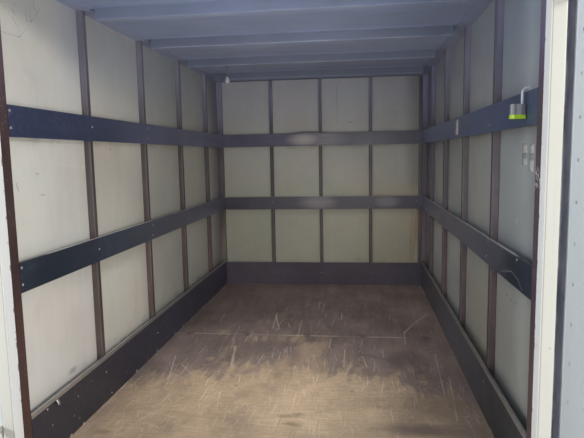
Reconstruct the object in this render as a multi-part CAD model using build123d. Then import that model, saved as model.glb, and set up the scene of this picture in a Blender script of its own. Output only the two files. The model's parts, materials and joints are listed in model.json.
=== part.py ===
from build123d import *
from math import cos, radians, sin
import os

# Cargo box body of a light box truck, on its own subframe, with two hinged rear doors.
# Millimetres. +X is to the right, +Y to the front wall, +Z up. Z = 0 is the underside of
# the subframe and the origin is the centre of the bolt holes in it.

# Load space, between the wall sheets, from the front sheet to the rear frame's rear face
inner_width = 1750
inner_length = 2990
ceiling_height = 1729

# Subframe and deck
runner_height = 80
runner_width = 50
runner_wall = 4
runner_spacing = 730
bearer_height = 60
bearer_width = 40
bearer_wall = 3
bearer_count = 7
deck_thickness = 18
deck_seam_from_front = 1380
joint_gap = 0.6
rail_wall = 3
bolt_spacing = 2000
bolt_hole_radius = 6.5

# Walls and roof
sheet_thickness = 6
post_depth = 30
post_width = 26
post_wall = 2
post_radius = 3
side_post_first = 450
side_post_pitch = 622
side_post_count = 4
front_post_pitch = 414
front_post_count = 3
roof_thickness = 30
roof_skin_thickness = 2
cant_width = 68
cant_drop = 4
bow_depth = 48
bow_width = 40
bow_flange = 18
bow_end_gap = 22
bow_wall = 2
trim_thickness = 3
trim_leg = 45
trim_radius = 9

# Rub boards and kick boards, heights from the deck
board_thickness = 12
board_height = 106
upper_board_bottom = 1180
lower_board_bottom = 649
kick_height = 208
front_kick_height = 189
cap_thickness = 2
cap_leg = 14

# Rear frame
rear_post_depth = 45
rear_post_radius = 10
inner_post_width = 48
header_depth = 60
sill_drop = 18

# Rear doors, given closed
door_thickness = 30
door_middle_gap = 8
door_edge_inset = 5
door_lap_top = 45
door_lap_bottom = 40
door_edge_width = 45
door_edge_wall = 2
seal_width = 38
seal_thickness = 6
seal_base = 3
seal_rib = 7
seal_gap = 5
rest_angle = 90

# Hinges
pin_radius = 6
pin_clearance = 0.25
knuckle_radius = 10
knuckle_gap = 0.5
pin_outboard = 12
strap_thickness = 5
strap_length = 300
strap_height = 40
lug_height = 90
lug_plate = 5
lug_length = 36
hinge_from_deck = 170
hinge_from_opening_top = 120

# Lock gear
rod_radius = 11
rod_standoff = 20
rod_from_middle = 150
rod_reach = 16
guide_count = 3
guide_from_end = 90
guide_height = 24
guide_wall = 7
guide_clearance = 0.3
guide_foot = 70
guide_foot_thickness = 4
cam_thickness = 12
cam_length = 34
cam_width = 20
cam_hub_wall = 3
cam_notch_from_rod = 21
cam_notch_radius = 6.5
keeper_width = 70
keeper_height = 22
keeper_depth = 34
keeper_slot = 30
keeper_gap = 5
handle_from_deck = 720
handle_length = 230
handle_width = 26
handle_thickness = 7
handle_end_radius = 11.5
hub_radius = 17
hub_height = 34
catch_height = 46
catch_width = 24
catch_from_rod = 184

# Padlock hung by its open shackle over the right upper board
padlock_width = 50
padlock_height = 33
padlock_depth = 22
padlock_plates = 10
padlock_groove = 0.8
padlock_corner = 6
padlock_base_height = 12
padlock_base_lip = 1
padlock_turn = 20
shackle_radius = 4.5
shackle_sides = 10
shackle_inner_width = 21
shackle_free_leg = 16
shackle_seat = 24
padlock_drop = 39
padlock_from_rear = 105
rest_gap = 0.3

# Places that follow from the sizes above
side_face = inner_width / 2
side_outer = side_face + sheet_thickness
front_face = inner_length / 2
front_outer = front_face + sheet_thickness
rear_face = -inner_length / 2
bearer_top = runner_height + bearer_height
deck_top = bearer_top + deck_thickness
ceiling = deck_top + ceiling_height
panel_face = ceiling + cant_drop
roof_top = ceiling + roof_thickness
roof_outer = roof_top + roof_skin_thickness
post_face = side_face - post_depth
board_face = post_face - board_thickness
front_post_face = front_face - post_depth
front_board_face = front_post_face - board_thickness
frame_front = rear_face + rear_post_depth
bay_rear = frame_front + inner_post_width
opening_top = ceiling - header_depth
sill_bottom = runner_height - sill_drop
seam = front_face - deck_seam_from_front
side_post_places = [front_face - side_post_first - i * side_post_pitch for i in range(side_post_count)]
front_post_places = [(i - (front_post_count - 1) / 2) * front_post_pitch for i in range(front_post_count)]

door_inner = rear_face - seal_gap - seal_thickness
door_outer = door_inner - door_thickness
door_field = door_outer + door_edge_wall
door_hinge_edge = side_outer - door_edge_inset
door_middle_edge = door_middle_gap / 2
door_bottom = deck_top - door_lap_bottom
door_top = opening_top + door_lap_top
pin_x = side_outer + pin_outboard
pin_y = door_outer - strap_thickness
hinge_heights = [deck_top + hinge_from_deck, opening_top - hinge_from_opening_top]
rod_x = door_middle_edge + rod_from_middle
rod_y = door_outer - rod_standoff


def block(x0, x1, y0, y1, z0, z1):
    """A box between two corners."""
    centre = Pos((x0 + x1) / 2, (y0 + y1) / 2, (z0 + z1) / 2)
    return centre * Box(abs(x1 - x0), abs(y1 - y0), abs(z1 - z0))


def along_x(section, x0, x1):
    """Runs a section drawn in Y and Z from x0 to x1."""
    return extrude(Plane((x0, 0, 0), x_dir=(0, 1, 0), z_dir=(1, 0, 0)) * section, amount=x1 - x0)


def along_y(section, y0, y1):
    """Runs a section drawn in X and Z from y0 to y1."""
    return extrude(Plane((0, y1, 0), x_dir=(1, 0, 0), z_dir=(0, -1, 0)) * section, amount=y1 - y0)


def along_z(section, z0, z1):
    """Runs a section drawn in X and Y from z0 to z1."""
    return extrude(Pos(0, 0, z0) * section, amount=z1 - z0)


def upright(x, y, z0, z1, radius):
    """A round bar between two heights."""
    return Pos(x, y, (z0 + z1) / 2) * Cylinder(radius, z1 - z0)


def tube_section(a0, a1, b0, b1, wall, radius=0):
    """A closed rectangular tube between two corners, rounded outside where it has a radius."""
    centre = Pos((a0 + a1) / 2, (b0 + b1) / 2)
    width = a1 - a0
    depth = b1 - b0
    outer = RectangleRounded(width, depth, radius) if radius else Rectangle(width, depth)
    return centre * (outer - Rectangle(width - 2 * wall, depth - 2 * wall))


def channel_section(a0, a1, b0, b1, wall):
    """A channel between two corners, open towards the first corner's side."""
    outer = Pos((a0 + a1) / 2, (b0 + b1) / 2) * Rectangle(a1 - a0, b1 - b0)
    bore = Pos((a0 + a1 - wall) / 2, (b0 + b1) / 2) * Rectangle(a1 - a0 - wall, b1 - b0 - 2 * wall)
    return outer - bore


def both_sides(part):
    """The part on the right and its mirror image on the left."""
    return [part, mirror(part, Plane.YZ)]


def save(name, *solids):
    """Writes one node."""
    export_step(Compound(children=[s for part in solids for s in part.solids()]), f"parts/{name}.step")


# Subframe: two channels with bolt holes in their lower flanges, and cross-bearers on top
def runner():
    x = runner_spacing / 2
    section = channel_section(x - runner_width / 2, x + runner_width / 2, 0, runner_height, runner_wall)
    body = along_y(section, frame_front, front_face)
    for y in (-bolt_spacing / 2, 0, bolt_spacing / 2):
        body -= Pos(x, y, 0) * Cylinder(bolt_hole_radius, 4 * runner_wall)
    return body


def bearer(y):
    section = channel_section(y - bearer_width / 2, y + bearer_width / 2, runner_height, bearer_top, bearer_wall)
    return along_x(section, -post_face, post_face)


def bearer_places():
    first = frame_front + bearer_width / 2
    last = front_post_face - bearer_width / 2
    return [first + (last - first) * i / (bearer_count - 1) for i in range(bearer_count)]


def subframe():
    save("runners", *both_sides(runner()))
    save("cross_bearers", *[bearer(y) for y in bearer_places()])


# Deck, which ends at the kick boards, and the rails round it
def deck():
    side_rail = tube_section(post_face, side_face, runner_height, deck_top, rail_wall)
    front_rail = tube_section(front_post_face, front_face, runner_height, deck_top, rail_wall)
    save("bottom_side_rails", *both_sides(along_y(side_rail, frame_front, front_face)))
    save("front_bottom_rail", along_x(front_rail, -post_face, post_face))
    save("deck_rear", block(-board_face, board_face, frame_front, seam - joint_gap / 2, bearer_top, deck_top))
    save("deck_front", block(-board_face, board_face, seam + joint_gap / 2, front_board_face, bearer_top, deck_top))


# Wall sheets, which meet on the posts
def side_sheets():
    joints = [side_post_places[1], side_post_places[3]]
    edges = [front_outer, *joints, frame_front]
    sheets = []
    for front, rear in zip(edges, edges[1:]):
        y1 = front - (joint_gap / 2 if front in joints else 0)
        y0 = rear + (joint_gap / 2 if rear in joints else 0)
        sheets.append(block(side_face, side_outer, y0, y1, runner_height, roof_top))
    return sheets


def walls():
    right = side_sheets()
    save("side_sheets_right", *right)
    save("side_sheets_left", *[mirror(s, Plane.YZ) for s in right])
    save("front_sheet", block(-side_face, side_face, front_face, front_outer, runner_height, roof_top))


# Posts: closed tubes with rounded edges, standing on the bottom rails
def posts():
    right = []
    for y in side_post_places:
        section = tube_section(
            post_face, side_face, y - post_width / 2, y + post_width / 2, post_wall, post_radius
        )
        right.append(along_z(section, deck_top, ceiling))
    save("side_posts_right", *right)
    save("side_posts_left", *[mirror(p, Plane.YZ) for p in right])
    front = []
    for x in front_post_places:
        section = tube_section(
            x - post_width / 2, x + post_width / 2, front_post_face, front_face, post_wall, post_radius
        )
        front.append(along_z(section, deck_top, ceiling))
    save("front_posts", *front)
    corner = tube_section(board_face, side_face, front_board_face, front_face, post_wall, post_radius)
    save("front_corner_posts", *both_sides(along_z(corner, deck_top, ceiling)))


# Roof: cant rails and front header round the panel, a little lower than its face, hat-section bows under it
def bow(y):
    crown = bow_width / 2
    foot = crown + bow_flange
    low = panel_face - bow_depth
    end = side_face - cant_width - bow_end_gap
    outline = Polyline(
        (y - foot, panel_face),
        (y - foot, panel_face - bow_wall),
        (y - crown, panel_face - bow_wall),
        (y - crown, low),
        (y + crown, low),
        (y + crown, panel_face - bow_wall),
        (y + foot, panel_face - bow_wall),
        (y + foot, panel_face),
        (y + crown - bow_wall, panel_face),
        (y + crown - bow_wall, low + bow_wall),
        (y - crown + bow_wall, low + bow_wall),
        (y - crown + bow_wall, panel_face),
        close=True,
    )
    return along_x(make_face(outline), -end, end)


def roof():
    inner = side_face - cant_width
    cant = tube_section(inner, side_face, ceiling, roof_top, rail_wall)
    header = tube_section(front_face - cant_width, front_face, ceiling, roof_top, rail_wall)
    save("cant_rails", *both_sides(along_y(cant, frame_front, front_face)))
    save("front_header", along_x(header, -inner, inner))
    save("roof_panel", block(-inner, inner, frame_front, front_face - cant_width, panel_face, roof_top))
    save("roof_skin", block(-side_outer, side_outer, frame_front, front_outer, roof_top, roof_outer))
    save("roof_bows", *[bow(y) for y in side_post_places])


# Outer edge trims: rounded angles over the sheets' edges
def trim_section(a, b):
    """An angle with its outer corner at a, b and its legs towards the lower values."""
    outer = Pos(a - trim_leg / 2, b - trim_leg / 2) * Rectangle(trim_leg, trim_leg)
    corner = outer.vertices().sort_by(lambda v: v.X + v.Y)[-1]
    outer = fillet(corner, trim_radius)
    cut = Pos(a - trim_thickness - trim_leg / 2, b - trim_thickness - trim_leg / 2)
    return outer - cut * Rectangle(trim_leg, trim_leg)


def trims():
    x = side_outer + trim_thickness
    y = front_outer + trim_thickness
    z = roof_outer + trim_thickness
    side = along_y(trim_section(x, z), frame_front, y - trim_leg - joint_gap)
    front = along_x(trim_section(y, z), -(x - trim_leg - joint_gap), x - trim_leg - joint_gap)
    corner = along_z(trim_section(x, y), runner_height, z - trim_leg - joint_gap)
    cap = block(x - trim_leg, x, y - trim_leg, y, z - trim_leg, z)
    rounded = cap.edges().filter_by(lambda e: e.center().X > x - 1 and e.center().Y > y - 1)
    rounded += cap.edges().filter_by(lambda e: e.center().X > x - 1 and e.center().Z > z - 1)
    rounded += cap.edges().filter_by(lambda e: e.center().Y > y - 1 and e.center().Z > z - 1)
    cap = fillet(rounded, trim_radius)
    cap -= block(0, side_outer, 0, front_outer, 0, roof_outer)
    save("edge_trims", *both_sides(side), front, *both_sides(corner), *both_sides(cap))


# Rub boards on the posts, kick boards round the deck on the bearers, and the caps on their top edges
def boards():
    for side in ("right", "left"):
        pieces = []
        for bottom in (lower_board_bottom, upper_board_bottom):
            z = deck_top + bottom
            pieces.append(block(board_face, post_face, bay_rear, front_board_face, z, z + board_height))
        if side == "left":
            pieces = [mirror(p, Plane.YZ) for p in pieces]
        save(f"side_boards_{side}", *pieces)
    front = []
    for bottom in (lower_board_bottom, upper_board_bottom):
        z = deck_top + bottom
        front.append(block(-board_face, board_face, front_board_face, front_post_face, z, z + board_height))
    save("front_boards", *front)
    kick_top = deck_top + kick_height
    kick = block(board_face, post_face, bay_rear, front_board_face, bearer_top, kick_top)
    save("side_kick_boards", *both_sides(kick))
    front_top = deck_top + front_kick_height
    save("front_kick_board", block(-board_face, board_face, front_board_face, front_post_face, bearer_top, front_top))
    cap = block(
        board_face - cap_thickness, post_face, bay_rear, front_board_face, kick_top - cap_leg, kick_top + cap_thickness
    )
    cap -= block(board_face, post_face, bay_rear, front_board_face, kick_top - cap_leg, kick_top)
    save("kick_caps", *both_sides(cap))


# Rear frame: outer posts with a rounded corner, header, sill and the inner posts
def rear_frame():
    post = along_z(
        Pos((board_face + side_outer) / 2, (rear_face + frame_front) / 2)
        * Rectangle(side_outer - board_face, rear_post_depth),
        sill_bottom,
        roof_outer,
    )
    corner = post.edges().filter_by(Axis.Z).sort_by(lambda e: e.center().X - e.center().Y)[-1]
    post = fillet(corner, rear_post_radius)
    save("rear_corner_posts", *both_sides(post))
    save("rear_header", block(-board_face, board_face, rear_face, frame_front, opening_top, roof_outer))
    save("rear_sill", block(-board_face, board_face, rear_face, frame_front, sill_bottom, deck_top))
    inner = tube_section(board_face, side_face, frame_front, bay_rear, post_wall, post_radius)
    save("rear_inner_posts", *both_sides(along_z(inner, deck_top, ceiling)))


# Hinges: a lug with two knuckles and the pin on the post, a strap with one knuckle on the door
def frame_hinge(z):
    half = lug_height / 2
    bore_half = strap_height / 2 + knuckle_gap
    plate = block(side_outer, side_outer + lug_plate, pin_y, rear_face + lug_length, z - half, z + half)
    knuckles = upright(pin_x, pin_y, z - half, z + half, knuckle_radius)
    room = knuckle_radius + knuckle_gap
    opening = block(side_outer - 1, pin_x + room, pin_y - room, rear_face, z - bore_half, z + bore_half)
    pin = upright(pin_x, pin_y, z - half, z + half, pin_radius)
    return plate + knuckles - opening + pin


def door_hinge(z):
    half = strap_height / 2
    tip = pin_x - strap_length
    strap = block(tip, pin_x, pin_y, door_outer, z - half, z + half)
    ends = strap.edges().filter_by(Axis.Y).sort_by(Axis.X)[:2]
    strap = chamfer(ends, half / 2)
    knuckle = upright(pin_x, pin_y, z - half, z + half, knuckle_radius)
    bore = upright(pin_x, pin_y, z - strap_height, z + strap_height, pin_radius + pin_clearance)
    return strap + knuckle - bore


# Door leaf, drawn closed on the right: a panel in a frame of edge channels, with the seal inside
def door_panel():
    w = door_edge_wall
    return block(
        door_middle_edge + w, door_hinge_edge - w, door_outer + w, door_inner - w, door_bottom + w, door_top - w
    )


def door_edges():
    ring = block(door_middle_edge, door_hinge_edge, door_outer, door_inner, door_bottom, door_top)
    e = door_edge_width
    ring -= block(
        door_middle_edge + e, door_hinge_edge - e, door_outer - 1, door_inner + 1, door_bottom + e, door_top - e
    )
    return ring - door_panel()


def door_seal():
    def band(outside, inside, depth0, depth1):
        outer = block(
            door_middle_edge + outside,
            door_hinge_edge - outside,
            depth0,
            depth1,
            door_bottom + outside,
            door_top - outside,
        )
        return outer - block(
            door_middle_edge + inside,
            door_hinge_edge - inside,
            depth0 - 1,
            depth1 + 1,
            door_bottom + inside,
            door_top - inside,
        )

    crown = door_inner + seal_thickness
    base = band(0, seal_width, door_inner, door_inner + seal_base)
    outer_rib = band(0, seal_rib, door_inner + seal_base, crown)
    inner_rib = band(seal_width - seal_rib, seal_width, door_inner + seal_base, crown)
    return base + outer_rib + inner_rib


def cam(z0, z1):
    hook = Pos(rod_x, rod_y) * (
        Circle(rod_radius + cam_hub_wall) + Pos(-cam_length / 2, 0) * Rectangle(cam_length, cam_width)
    )
    notch = Pos(rod_x - cam_notch_from_rod, rod_y + cam_width / 2) * Circle(cam_notch_radius)
    return along_z(hook - notch, z0, z1)


def lock_rod():
    top = door_top + rod_reach
    bottom = door_bottom - rod_reach
    rod = upright(rod_x, rod_y, bottom, top, rod_radius)
    z = deck_top + handle_from_deck
    hub = upright(rod_x, rod_y, z - hub_height / 2, z + hub_height / 2, hub_radius)
    lever = block(
        rod_x,
        rod_x + handle_length,
        rod_y - handle_thickness / 2,
        rod_y + handle_thickness / 2,
        z - handle_width / 2,
        z + handle_width / 2,
    )
    ends = lever.edges().filter_by(Axis.Y).sort_by(Axis.X)[-2:]
    lever = fillet(ends, handle_end_radius)
    return rod + hub + lever + cam(top - cam_thickness, top) + cam(bottom, bottom + cam_thickness)


def guide(z):
    outer = rod_radius + guide_wall
    half = guide_height / 2
    saddle = upright(rod_x, rod_y, z - half, z + half, outer)
    saddle += block(rod_x - outer, rod_x + outer, rod_y, door_field, z - half, z + half)
    foot_x = rod_x - guide_foot / 2
    foot = block(foot_x, foot_x + guide_foot, door_field - guide_foot_thickness, door_field, z - half, z + half)
    bore = upright(rod_x, rod_y, z - guide_height, z + guide_height, rod_radius + guide_clearance)
    return saddle + foot - bore


def handle_catch():
    z = deck_top + handle_from_deck
    x = rod_x + catch_from_rod
    half = catch_height / 2
    face = rod_y - handle_thickness / 2 - guide_foot_thickness
    body = block(x - catch_width / 2, x + catch_width / 2, face, door_field, z - half, z + half)
    gap = handle_width / 2 + guide_clearance
    slot = block(
        x - catch_width,
        x + catch_width,
        rod_y - handle_thickness / 2 - guide_clearance,
        rod_y + handle_thickness / 2 + guide_clearance,
        z - gap,
        z + half,
    )
    return body - slot


def guide_places():
    first = door_bottom + guide_from_end
    last = door_top - guide_from_end
    return [first + (last - first) * i / (guide_count - 1) for i in range(guide_count)]


def keeper(z0, z1):
    outer = block(
        rod_x - keeper_width / 2, rod_x + keeper_width / 2, rear_face - keeper_depth, rear_face, z0, z1
    )
    slot = block(
        rod_x - keeper_slot / 2,
        rod_x + keeper_slot / 2,
        rear_face - keeper_depth - 1,
        rear_face - guide_foot_thickness,
        z0 - 1,
        z1 + 1,
    )
    return outer - slot


def open_door(part, side):
    """Turns a closed right-hand piece to its place at rest, and mirrors it for the left door."""
    part = Pos(pin_x, pin_y, 0) * Rot(0, 0, rest_angle) * Pos(-pin_x, -pin_y, 0) * part
    return mirror(part, Plane.YZ) if side == "left" else part


def doors():
    save("frame_hinges", *[h for z in hinge_heights for h in both_sides(frame_hinge(z))])
    top_keeper = keeper(door_top + keeper_gap, door_top + keeper_gap + keeper_height)
    bottom_keeper = keeper(door_bottom - keeper_gap - keeper_height, door_bottom - keeper_gap)
    save("lock_keepers", *both_sides(top_keeper), *both_sides(bottom_keeper))
    for side in ("right", "left"):
        save(f"door_{side}_panel", open_door(door_panel(), side))
        save(f"door_{side}_edges", open_door(door_edges(), side))
        save(f"door_{side}_seal", open_door(door_seal(), side))
        save(f"door_{side}_hinges", *[open_door(door_hinge(z), side) for z in hinge_heights])
        save(f"door_{side}_lock_rod", open_door(lock_rod(), side))
        guides = [open_door(guide(z), side) for z in guide_places()]
        save(f"door_{side}_rod_guides", *guides, open_door(handle_catch(), side))


# Padlock: a stack of plates on a base, its open shackle hooked over the board's top edge
def padlock():
    board_top = deck_top + upper_board_bottom + board_height
    y = bay_rear + padlock_from_rear
    arch = shackle_inner_width / 2 + shackle_radius
    leg_x = board_face - rest_gap - padlock_end_reach()
    free_x = leg_x + 2 * arch
    arch_x = leg_x + arch
    corner = post_face - arch_x
    arch_z = board_top + rest_gap - (shackle_inner_width**2 / 4 - corner**2) ** 0.5
    body_top = board_top - padlock_drop

    bar = RegularPolygon(shackle_radius, shackle_sides)
    leg = along_z(Pos(leg_x, y) * bar, body_top - shackle_seat, arch_z)
    free = along_z(Pos(free_x, y) * bar, arch_z - shackle_free_leg, arch_z)
    bend = revolve(Pos(leg_x, y, arch_z) * bar, Axis((arch_x, y, arch_z), (0, 1, 0)), 180)
    save("padlock_shackle", leg + free + bend)

    middle = -arch
    pitch = padlock_height / padlock_plates
    stack = None
    for i in range(padlock_plates):
        z = body_top - padlock_height + i * pitch
        plate = along_z(Pos(middle, 0) * padlock_outline(0), z, z + pitch - padlock_groove)
        seam_part = along_z(Pos(middle, 0) * padlock_outline(-padlock_groove), z, z + pitch)
        stack = plate + seam_part if stack is None else stack + plate + seam_part
    low = body_top - padlock_height
    stack += along_z(Pos(middle, 0) * padlock_outline(padlock_base_lip), low - padlock_base_height, low)
    hole = shackle_radius + pin_clearance
    for x in (0, -2 * arch):
        stack -= upright(x, 0, body_top - shackle_seat, body_top + 1, hole)
    save("padlock_body", Pos(leg_x, y, 0) * Rot(0, 0, padlock_turn) * stack)


def padlock_outline(grow):
    """The padlock's plan with its corners cut, larger or smaller all round by a small amount."""
    plan = Rectangle(padlock_width + 2 * grow, padlock_depth + 2 * grow)
    return chamfer(plan.vertices(), padlock_corner)


def padlock_end_reach():
    """How far the turned body reaches past its shackle's leg towards the board."""
    turn = radians(padlock_turn)
    along = (padlock_width - shackle_inner_width) / 2 - shackle_radius + padlock_base_lip
    across = padlock_depth / 2 + padlock_base_lip - padlock_corner
    return along * cos(turn) + across * sin(turn)


subframe()
deck()
walls()
posts()
roof()
trims()
boards()
rear_frame()
doors()
padlock()
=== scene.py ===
import json
import math
from functools import partial, reduce

import bmesh
import bpy
from mathutils import Matrix, Vector


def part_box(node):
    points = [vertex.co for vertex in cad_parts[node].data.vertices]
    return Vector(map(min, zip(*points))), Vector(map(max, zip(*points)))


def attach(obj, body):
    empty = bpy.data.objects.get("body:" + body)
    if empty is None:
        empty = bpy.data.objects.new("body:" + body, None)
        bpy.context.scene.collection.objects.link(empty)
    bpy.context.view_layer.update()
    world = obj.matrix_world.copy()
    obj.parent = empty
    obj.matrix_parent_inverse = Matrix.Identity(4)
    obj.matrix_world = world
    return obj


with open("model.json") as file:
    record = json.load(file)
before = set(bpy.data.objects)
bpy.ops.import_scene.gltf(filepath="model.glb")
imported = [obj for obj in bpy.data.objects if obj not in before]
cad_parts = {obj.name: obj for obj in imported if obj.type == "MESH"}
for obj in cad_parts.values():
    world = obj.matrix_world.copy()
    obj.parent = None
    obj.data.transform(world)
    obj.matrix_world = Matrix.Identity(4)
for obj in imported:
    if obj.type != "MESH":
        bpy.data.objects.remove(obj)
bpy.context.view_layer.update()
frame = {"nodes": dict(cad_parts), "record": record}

# Faces that the details sit on, read from the frame, in metres
side_face, side_outer = (corner.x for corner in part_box("side_sheets_right"))
front_face, front_outer = (corner.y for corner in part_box("front_sheet"))
board_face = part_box("side_boards_right")[0].x
front_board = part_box("front_boards")[0].y
board_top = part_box("front_boards")[1].z
deck_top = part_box("deck_rear")[1].z
deck_seam = (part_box("deck_rear")[1].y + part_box("deck_front")[0].y) / 2
panel_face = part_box("roof_panel")[0].z
cant_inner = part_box("roof_panel")[1].x
bow_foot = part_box("roof_bows")[0].z
post_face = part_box("side_posts_right")[0].x
front_post_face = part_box("front_posts")[0].y
rear_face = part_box("rear_header")[0].y
kick_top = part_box("kick_caps")[1].z
header_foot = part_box("rear_header")[0].z
leaf_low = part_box("door_right_panel")[0]
lugs_low, lugs_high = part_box("frame_hinges")
lug_to_hinge = 0.045
hinge_places = (lugs_low.z + lug_to_hinge, lugs_high.z - lug_to_hinge)

# Centres of the posts: along the side walls from the front, and across the front wall
side_post_pitch = 0.622
front_post_pitch = 0.414
posts_low, posts_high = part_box("side_posts_right")
post_half = (posts_high.y - posts_low.y - 3 * side_post_pitch) / 2
side_places = [posts_high.y - post_half - i * side_post_pitch for i in range(4)]
front_places = [-front_post_pitch, 0.0, front_post_pitch]


def new_object(name, data):
    made = bpy.data.objects.new(name, data)
    bpy.context.scene.collection.objects.link(made)
    return made


# The photograph's camera, as its fit to the box's edges gave it
def set_camera():
    place = (0.31224, -3.08286, 1.2588)
    right = Vector((0.99252839, 0.12066377, -0.01810132))
    forward = Vector((-0.121955, 0.98568186, -0.11643985))
    up = Vector((0.00379207, 0.1177774, 0.99303278))
    data = bpy.data.cameras.new("camera")
    data.sensor_width = 36
    data.lens = 33.27
    data.clip_start = 0.02
    camera = new_object("camera", data)
    turn = Matrix((right, up, -forward)).transposed().to_4x4()
    camera.matrix_world = Matrix.Translation(place) @ turn
    bpy.context.scene.camera = camera


def add_node(tree, kind, inputs=None, **settings):
    """A shader node whose inputs are numbers, tuples or other nodes' sockets."""
    made = tree.nodes.new("ShaderNode" + kind)
    for key, value in settings.items():
        setattr(made, key, value)
    for key, value in (inputs or {}).items():
        socket = made.inputs[key]
        if isinstance(value, bpy.types.NodeSocket):
            tree.links.new(value, socket)
        elif socket.type == "RGBA":
            socket.default_value = (*value, 1.0)
        else:
            socket.default_value = value
    return made


# A procedural material, made by short calls that work on its colour so far
class Finish:
    def __init__(self, name, metallic=0.0, coat=0.0):
        self.material = bpy.data.materials.new(name)
        self.material.use_nodes = True
        self.tree = self.material.node_tree
        self.shader = self.tree.nodes["Principled BSDF"]
        self.shader.inputs["Metallic"].default_value = metallic
        self.shader.inputs["Coat Weight"].default_value = coat
        self.shader.inputs["Coat Roughness"].default_value = 0.25
        self.at = self.node("TexCoord").outputs["Object"]
        self.x, self.y, self.z = self.node("SeparateXYZ", {0: self.at}).outputs
        self.side = self.math("ABSOLUTE", self.x)
        self.plan = self.join(self.x, self.y)
        self.wall = self.join(self.math("ADD", self.x, self.y), self.z)
        self.across = partial(self.step, self.x)
        self.along = partial(self.step, self.y)
        self.up = partial(self.step, self.z)
        self.out = partial(self.step, self.side)

    def node(self, kind, inputs=None, **settings):
        return add_node(self.tree, kind, inputs, **settings)

    def join(self, u, v):
        """A flat coordinate: plan is x and y, wall runs round the walls with z as its height."""
        return self.node("CombineXYZ", {0: u, 1: v}).outputs[0]

    def math(self, operation, a, b=0.5):
        return self.node("Math", {0: a, 1: b}, operation=operation).outputs[0]

    def most(self, *values):
        return reduce(partial(self.math, "MAXIMUM"), values)

    def times(self, *values):
        return reduce(partial(self.math, "MULTIPLY"), values)

    def plus(self, *values):
        return reduce(partial(self.math, "ADD"), values)

    def rest(self, share):
        return self.math("SUBTRACT", 1.0, share)

    def vector(self, operation, a, b=(0, 0, 0)):
        return self.node("VectorMath", {0: a, 1: b}, operation=operation).outputs[0]

    def length(self, value):
        return self.node("VectorMath", {0: value}, operation="LENGTH").outputs["Value"]

    def scaled(self, value, share):
        return self.node("VectorMath", {0: value, "Scale": share}, operation="SCALE").outputs[0]

    def mix(self, share, a, b):
        inputs = {0: share, 6: a, 7: b}
        return self.node("Mix", inputs, data_type="RGBA", clamp_factor=True).outputs[2]

    def lay(self, colour, *shares):
        """Covers the colour so far with another, by the product of the shares."""
        self.colour = self.mix(self.times(*shares), self.colour, colour)

    def tint(self, by, *shares):
        """Multiplies the colour so far by another, in the same way."""
        self.lay(self.vector("MULTIPLY", self.colour, by), *shares)

    def shade(self, share):
        self.colour = self.scaled(self.colour, share)

    def darken(self, to, *shares):
        self.shade(self.step(self.times(*shares), 0.0, 1.0, 1.0, to))

    def step(self, value, low, high, to_low=0.0, to_high=1.0):
        """A soft step as a value goes from low to high. Across, along, up and out step a coordinate."""
        inputs = {0: value, 1: low, 2: high, 3: to_low, 4: to_high}
        return self.node("MapRange", inputs, interpolation_type="SMOOTHSTEP").outputs[0]

    def vary(self, noise, low, high):
        """The middle of a noise's range, spread from one number to another."""
        return self.step(noise, 0.3, 0.7, low, high)

    def near(self, value, middle, reach, edge=0.5):
        """One within reach of a value, fading to none over the outer part."""
        gap = self.math("ABSOLUTE", self.math("SUBTRACT", value, middle))
        return self.step(gap, reach, reach * edge)

    def noise(self, scale, detail=3.0, rough=0.55, by=None, place=None):
        where = place or self.at
        if by:
            where = self.vector("MULTIPLY", where, by)
        inputs = {"Vector": where, "Scale": scale, "Detail": detail, "Roughness": rough}
        return self.node("TexNoise", inputs).outputs[0]

    def streaks(self, place, first, second, detail=4.0, rough=0.6):
        """Noise drawn out along a flat coordinate: the numbers are its cells in a metre each way."""
        return self.noise(1.0, detail, rough, (first, second, 1), place)

    def warped(self, scale, amount, place=None):
        place = place or self.at
        noise = self.node("TexNoise", {"Vector": place, "Scale": scale, "Detail": 2.0}).outputs[1]
        shift = self.vector("SUBTRACT", noise, (0.5, 0.5, 0.5))
        return self.vector("ADD", place, self.vector("MULTIPLY", shift, (amount, amount, amount)))

    def dots(self, place, scale, size, share):
        """Small dots in the cells of a flat coordinate, and only in a share of the cells."""
        cells = self.node("TexVoronoi", {"Vector": place, "Scale": scale}, voronoi_dimensions="2D")
        pick = self.node("SeparateColor", {0: cells.outputs["Color"]}).outputs[0]
        dot = self.step(cells.outputs["Distance"], size, size * 0.5)
        return self.math("MULTIPLY", dot, self.step(pick, share, share - 0.02))

    def scratches(self, place, turn, across, along, share, size=0.16):
        """Scratches with tapered ends, all near one direction; across and along are cells in a metre."""
        turned = self.node("Mapping", {"Vector": place, "Rotation": (0, 0, turn)}).outputs[0]
        return self.dots(self.vector("MULTIPLY", turned, (across, along, 1)), 1.0, size, share)

    def lines(self, place, scale, width, shown=0.5):
        """Fine straight lines in all directions, broken off by noise."""
        inputs = {"Vector": place, "Scale": scale}
        settings = {"voronoi_dimensions": "2D", "feature": "DISTANCE_TO_EDGE"}
        cells = self.node("TexVoronoi", inputs, **settings)
        line = self.step(cells.outputs["Distance"], width, width * 0.3)
        broken = self.step(self.noise(scale * 1.3, 2.0, place=place), shown, shown + 0.12)
        return self.math("MULTIPLY", line, broken)

    def blot(self, centre, radii, edge=0.5, place=None):
        """A soft patch round a point, fading over its outer part."""
        away = self.vector("SUBTRACT", place or self.at, centre)
        scaled = self.vector("MULTIPLY", away, tuple(1 / r for r in radii))
        return self.step(self.length(scaled), 1.0, 1.0 - edge)

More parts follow.
